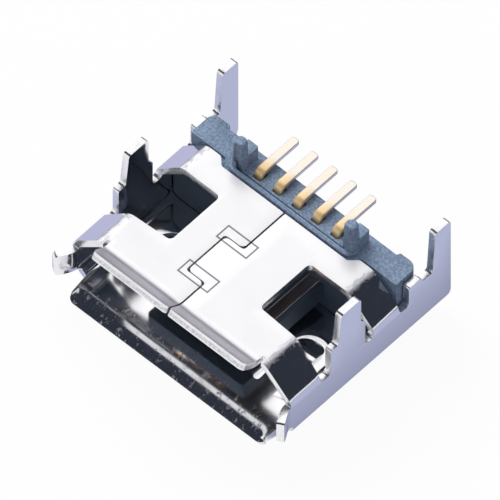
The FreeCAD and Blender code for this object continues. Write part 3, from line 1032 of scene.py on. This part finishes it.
def insulator_body(radius):
    """The joined solids of the insulator, before the contacts' rooms are cut."""
    front = NARROW_DEPTH + 0.05
    slim = STEP_HALF - BLOCK_SLACK - STEP_ROUND
    tongue = rectangle(-TONGUE_HALF, TONGUE_HALF, TONGUE_FRONT, BLOCK_FRONT + 0.05, 0.12)
    solids = [
        plateau(front, slim),
        ridge(front, slim),
        solid_prism(tongue, "z", TONGUE_TOP - TONGUE_THICKNESS, TONGUE_TOP),
    ]
    for x in (-POST_X, POST_X):
        rib = rectangle(x - RIB_HALF, x + RIB_HALF, POST_Y, POST_Y + RIB_REACH, 0, 0.03)
        solids.append(solid_prism(rib, "z", PLATEAU - 0.1, PLATEAU + RIB_HEIGHT))
        solids.append(spun_post(x, radius))
    return joined(block(), solids, "UNION")


def contact_rooms():
    """Cutters for each contact's groove, channel and riser, and for its pocket."""
    start, front, rear = BLADE_FRONT - 0.01, RISER_Y - 0.075, RISER_Y + 0.075
    profile = [
        (start, TONGUE_TOP - 0.12, 0),
        (rear, TONGUE_TOP - 0.12, 0),
        (rear, TONGUE_TOP + 0.6, 0),
        (front, TONGUE_TOP + 0.6, 0),
        (front, TONGUE_TOP + 0.02, 0),
        (start, TONGUE_TOP + 0.02, 0),
    ]
    end = STEP_HALF - 0.3
    line = NARROW_DEPTH + 0.22
    behind_ridge = rectangle(-end, end, line, line + 0.08, 0.02, 0.02)
    rooms = [solid_prism(behind_ridge, "z", PLATEAU - 0.06, FAR)]
    for x in contact_places():
        pocket = rectangle(x - 0.13, x + 0.15, front - 0.05, rear + 0.1, 0.05, 0.02)
        rooms.append(solid_prism(profile, "x", x - 0.18, x + 0.18))
        rooms.append(solid_prism(pocket, "z", TONGUE_TOP + 0.5, FAR))
    return rooms


class SOCKET_OT_insulator(bpy.types.Operator):
    """Moulds the insulator: tongue, block, ridge, wings, posts, ribs and contact rooms"""

    bl_idname = "socket.insulator"
    bl_label = "Insulator"

    def execute(self, context):
        settings = context.scene.socket_insulator
        bm = joined(insulator_body(settings.post / MM), contact_rooms(), "DIFFERENCE")
        bmesh.ops.remove_doubles(bm, verts=bm.verts[:], dist=TINY)
        bmesh.ops.dissolve_limit(bm, angle_limit=0.002, verts=bm.verts[:], edges=bm.edges[:])
        soften(bm, sharp_edges(bm, 0.5), settings.edge / MM, 2)
        materials = [plastic_material(settings)]
        finish_piece(bm, "insulator", materials, "housing")
        return {"FINISHED"}


def draw_out(bm, face, move):
    """Draws a face out straight and gives its new end."""
    made = bmesh.ops.extrude_discrete_faces(bm, faces=[face])["faces"][0]
    bmesh.ops.translate(bm, vec=move, verts=made.verts[:])
    return made


def draw_round(bm, face, centre, angle):
    """Draws a face round a bend across x and gives its new end."""
    made = bmesh.ops.spin(
        bm,
        geom=[face],
        cent=centre,
        axis=(1, 0, 0),
        angle=angle,
        steps=8,
        use_merge=False,
        use_duplicate=False,
    )
    return next(g for g in made["geom_last"] if isinstance(g, bmesh.types.BMFace))


def bent_strip(x, thickness):
    """One contact: its end face pulled along the blade, round the riser and out as a tail."""
    outer = STRIP_BEND + thickness
    blade_top = TONGUE_TOP + BLADE_LIFT
    tail_top = SHELL_HEIGHT + TAIL_LIFT
    front = RISER_Y - thickness / 2
    rise = blade_top + STRIP_BEND
    bm = bmesh.new()
    corners = rectangle(x - BLADE_HALF, x + BLADE_HALF, blade_top - thickness, blade_top)
    face = bm.faces.new([bm.verts.new((a, BLADE_FRONT, b)) for a, b, _ in corners])
    face = draw_out(bm, face, (0, front - STRIP_BEND - BLADE_FRONT, 0))
    face = draw_round(bm, face, (x, front - STRIP_BEND, rise), math.pi / 2)
    face = draw_out(bm, face, (0, 0, NARROWING))
    middle = Matrix.Translation((-x, 0, 0))
    bmesh.ops.scale(bm, vec=(TAIL_SHARE, 1, 1), space=middle, verts=face.verts[:])
    face = draw_out(bm, face, (0, 0, tail_top - outer - rise - NARROWING))
    face = draw_round(bm, face, (x, front + outer, tail_top - outer), -math.pi / 2)
    draw_out(bm, face, (0, TAIL_END - front - outer, 0))
    bmesh.ops.recalc_face_normals(bm, faces=bm.faces[:])
    return bm


class SOCKET_OT_contacts(bpy.types.Operator):
    """Bends the five contacts, each from one stamped strip"""

    bl_idname = "socket.contacts"
    bl_label = "Contacts"

    def execute(self, context):
        settings = context.scene.socket_contacts
        gold = gold_material(settings)
        for i, x in enumerate(contact_places(), 1):
            bm = bent_strip(x, settings.sheet / MM)
            end = [e for e in bm.edges if all(v.co.y > TAIL_END - 0.01 for v in e.verts)]
            corners = [e for e in end if abs(e.verts[0].co.x - e.verts[1].co.x) < 0.01]
            soften(bm, corners, TAIL_ROUND, 4)
            soften(bm, sharp_edges(bm, 1.0), settings.edge / MM, 2)
            finish_piece(bm, f"contact_strip_{i}", [gold], f"contact_{i}")
        return {"FINISHED"}


def flat(x, y, z):
    """Corners of a level rectangle from x[0] to x[1] and y[0] to y[1], at height z."""
    return [(a, b, z) for a, b, _ in rectangle(*x, *y)]


def upright(start, end, z):
    """Corners of a standing rectangle from start to end, from z[0] to z[1]."""
    return [(*start, z[0]), (*end, z[0]), (*end, z[1]), (*start, z[1])]


def stage_plane(name, corners, material):
    """A plane of the studio, with its corners in metres."""
    bm = bmesh.new()
    bm.faces.new([bm.verts.new(corner) for corner in corners])
    made = as_object(bm, name)
    made.data.materials.append(material)
    return made


def card(name, corners, material):
    """A plane that only reflections see."""
    made = stage_plane(name, corners, material)
    made.visible_camera = False
    made.visible_diffuse = False
    made.visible_shadow = False


def seen_directly(tree):
    """1 for what the camera sees itself, in a reflection or through glass."""
    rays = tree.nodes.new("ShaderNodeLightPath").outputs
    seen = combine(tree, "MAXIMUM", rays["Is Camera Ray"], rays["Is Glossy Ray"])
    return combine(tree, "MAXIMUM", seen, rays["Is Transmission Ray"])


def mix_in(tree, share, usual, seen):
    """Sets the usual shader of a material or sky, and a share of another over it."""
    mix = tree.nodes.new("ShaderNodeMixShader")
    tree.links.new(share, mix.inputs["Fac"])
    tree.links.new(usual, mix.inputs[1])
    tree.links.new(seen, mix.inputs[2])
    output = next(n for n in tree.nodes if n.type in ("OUTPUT_MATERIAL", "OUTPUT_WORLD"))
    tree.links.new(mix.outputs["Shader"], output.inputs["Surface"])


def floor_material(settings):
    """A grey floor that looks nearly white to the camera."""
    material, tree, shader = new_material("pale_floor")
    tone = (*settings.floor, 1)
    feed(tree, shader, {"Base Color": tone, "Roughness": 0.9, "Specular IOR Level": 0.0})
    glow = feed(tree, tree.nodes.new("ShaderNodeEmission"), {"Strength": 1.17})
    share = times(tree, seen_directly(tree), 0.8)
    mix_in(tree, share, shader.outputs["BSDF"], glow.outputs["Emission"])
    return material


def card_material(name, tone=(0.0, 0.0, 0.0)):
    """A card that glows in its own colour and takes no light."""
    material, tree, shader = new_material(name)
    glow = {"Emission Color": (*tone, 1), "Emission Strength": 1.0}
    feed(tree, shader, {"Base Color": (0.0, 0.0, 0.0, 1), "Specular IOR Level": 0.0, **glow})
    return material, tree, shader


def low_card_material(settings):
    """Cool on the right and pale on the left, with painted shadow beside the socket, greyer far
    behind it, and below the socket painted shadow under its left half and painted light under its
    right half.
    """
    material, tree, shader = card_material("low_card")
    vector = millimetre_vector(tree)
    across, back = along(tree, vector, "X"), along(tree, vector, "Y")
    side = spread(tree, across, -3.0, -6.0)
    tone = blend_colours(tree, side, settings.cool, settings.pale)
    # Painted shadow on the card close to the socket's right side.
    shadow_near = spread(tree, across, 4.9, 3.9, 0.0, 0.4)
    shadow_near = times(tree, shadow_near, spread(tree, across, 1.5, 2.5))
    tone = blend_colours(tree, shadow_near, tone, settings.contact_shadow)
    tone = blend_colours(tree, spread(tree, back, 9.0, 13.0), tone, settings.dusk)
    # Painted shadow below the socket's left half and painted light below its right half.
    beneath = spread(tree, combine(tree, "ABSOLUTE", across), 3.5, 3.4)
    beneath = times(tree, beneath, spread(tree, back, 3.0, 2.9))
    right = spread(tree, across, -0.1, 0.1)
    shade = blend_colours(tree, right, settings.shade, settings.light)
    feed(tree, shader, {"Emission Color": blend_colours(tree, beneath, tone, shade)})
    return material


def sky(settings):
    """Fill light from all round, which looks plain white to the camera."""
    world = bpy.data.worlds.new("studio")
    bpy.context.scene.world = world
    world.use_nodes = True
    tree = world.node_tree
    light = next(n for n in tree.nodes if n.type == "BACKGROUND")
    feed(tree, light, {"Color": (*settings.sky, 1), "Strength": settings.sky_strength})
    white = feed(tree, tree.nodes.new("ShaderNodeBackground"), {"Color": (1, 1, 1, 1)})
    seen = seen_directly(tree)
    mix_in(tree, seen, light.outputs["Background"], white.outputs["Background"])


def camera():
    """A parallel camera, high on the right of the mouth, as in the photograph."""
    level = math.cos(ELEVATION)
    back = Vector((math.sin(AZIMUTH) * level, -math.cos(AZIMUTH) * level, math.sin(ELEVATION)))
    data = bpy.data.cameras.new("camera")
    data.type = "ORTHO"
    data.ortho_scale = PICTURE / PIXELS_PER_MM * MM
    data.clip_start = 0.001
    data.clip_end = 1.0
    made = aimed("camera", data, LOOKS_AT * MM + back * 0.06, back)
    bpy.context.scene.camera = made


def aimed(name, data, place, back):
    """A camera or lamp at a place, with its back turned the way of the vector back."""
    made = add_object(name, data)
    made.location = place
    made.rotation_mode = "QUATERNION"
    made.rotation_quaternion = (-back).to_track_quat("-Z", "Y")
    return made


def soft_box(name, direction, distance, size, power, tint):
    """A square lamp turned to the middle, which the camera doesn't see."""
    data = bpy.data.lights.new(name, "AREA")
    data.shape = "SQUARE"
    data.size = size
    data.energy = power
    data.color = tint
    back = Vector(direction).normalized()
    made = aimed(name, data, back * distance, back)
    made.visible_camera = False
    return made


class SOCKET_OT_stage(bpy.types.Operator):
    """Sets the floor, the cards, the lamps and the camera"""

    bl_idname = "socket.stage"
    bl_label = "Stage"

    def execute(self, context):
        settings = context.scene.socket_stage
        context.scene.view_settings.view_transform = "Standard"
        camera()
        sky(settings)
        floor = flat((-0.6, 0.6), (-0.6, 0.6), 0)
        stage_plane("floor", floor, floor_material(settings))
        dark = card_material("black_card", settings.dark)[0]
        dusk = card_material("back_card", settings.dusk)[0]
        low = low_card_material(settings)
        just_over = 0.00001
        card("card_overhead", flat((-0.2, 0.2), (-0.13, 0.012), 0.1), dark)
        card("card_right", upright((0.09, -0.02), (0.02, 0.12), (0.01, 0.09)), dark)
        card("card_low", flat((-0.1, 0.1), (-0.003, 0.1), just_over), low)
        card("card_side", flat((0.02, 0.2), (0.012, 0.2), 0.1), dark)
        card("card_back", upright((-0.1, 0.1), (0.1, 0.1), (0, 0.06)), dusk)
        warm, plain = (1.0, 0.99, 0.97), (1.0, 1.0, 1.0)
        soft_box("soft_box", (-0.397, 0.5, 0.811), 0.3, 0.3, settings.lamp_power, warm)
        key = soft_box("key", (-0.75, 0.32, 0.7), 0.4, 0.36, settings.key_power, plain)
        key.visible_glossy = False
        return {"FINISHED"}


class SOCKET_PT_panel(bpy.types.Panel):
    bl_label = "Micro USB Socket"
    bl_idname = "SOCKET_PT_panel"
    bl_space_type = "VIEW_3D"
    bl_region_type = "UI"
    bl_category = "Socket"

    def draw(self, context):
        for name, (_, operator) in STEPS.items():
            settings = getattr(context.scene, name)
            box = self.layout.box()
            box.operator(operator.bl_idname)
            for key in settings.__annotations__:
                box.prop(settings, key)


STEPS = {
    "socket_shell": (ShellSettings, SOCKET_OT_shell),
    "socket_insulator": (InsulatorSettings, SOCKET_OT_insulator),
    "socket_contacts": (ContactSettings, SOCKET_OT_contacts),
    "socket_stage": (StageSettings, SOCKET_OT_stage),
}
CLASSES = [cls for pair in STEPS.values() for cls in pair] + [SOCKET_PT_panel]


def register():
    for cls in CLASSES:
        bpy.utils.register_class(cls)
    for name, (group, _) in STEPS.items():
        setattr(bpy.types.Scene, name, PointerProperty(type=group))


def unregister():
    for name in STEPS:
        delattr(bpy.types.Scene, name)
    for cls in reversed(CLASSES):
        bpy.utils.unregister_class(cls)


def main():
    register()
    bpy.ops.socket.stage()
    bpy.ops.socket.shell()
    bpy.ops.socket.insulator()
    bpy.ops.socket.contacts()


if __name__ == "__main__":
    main()
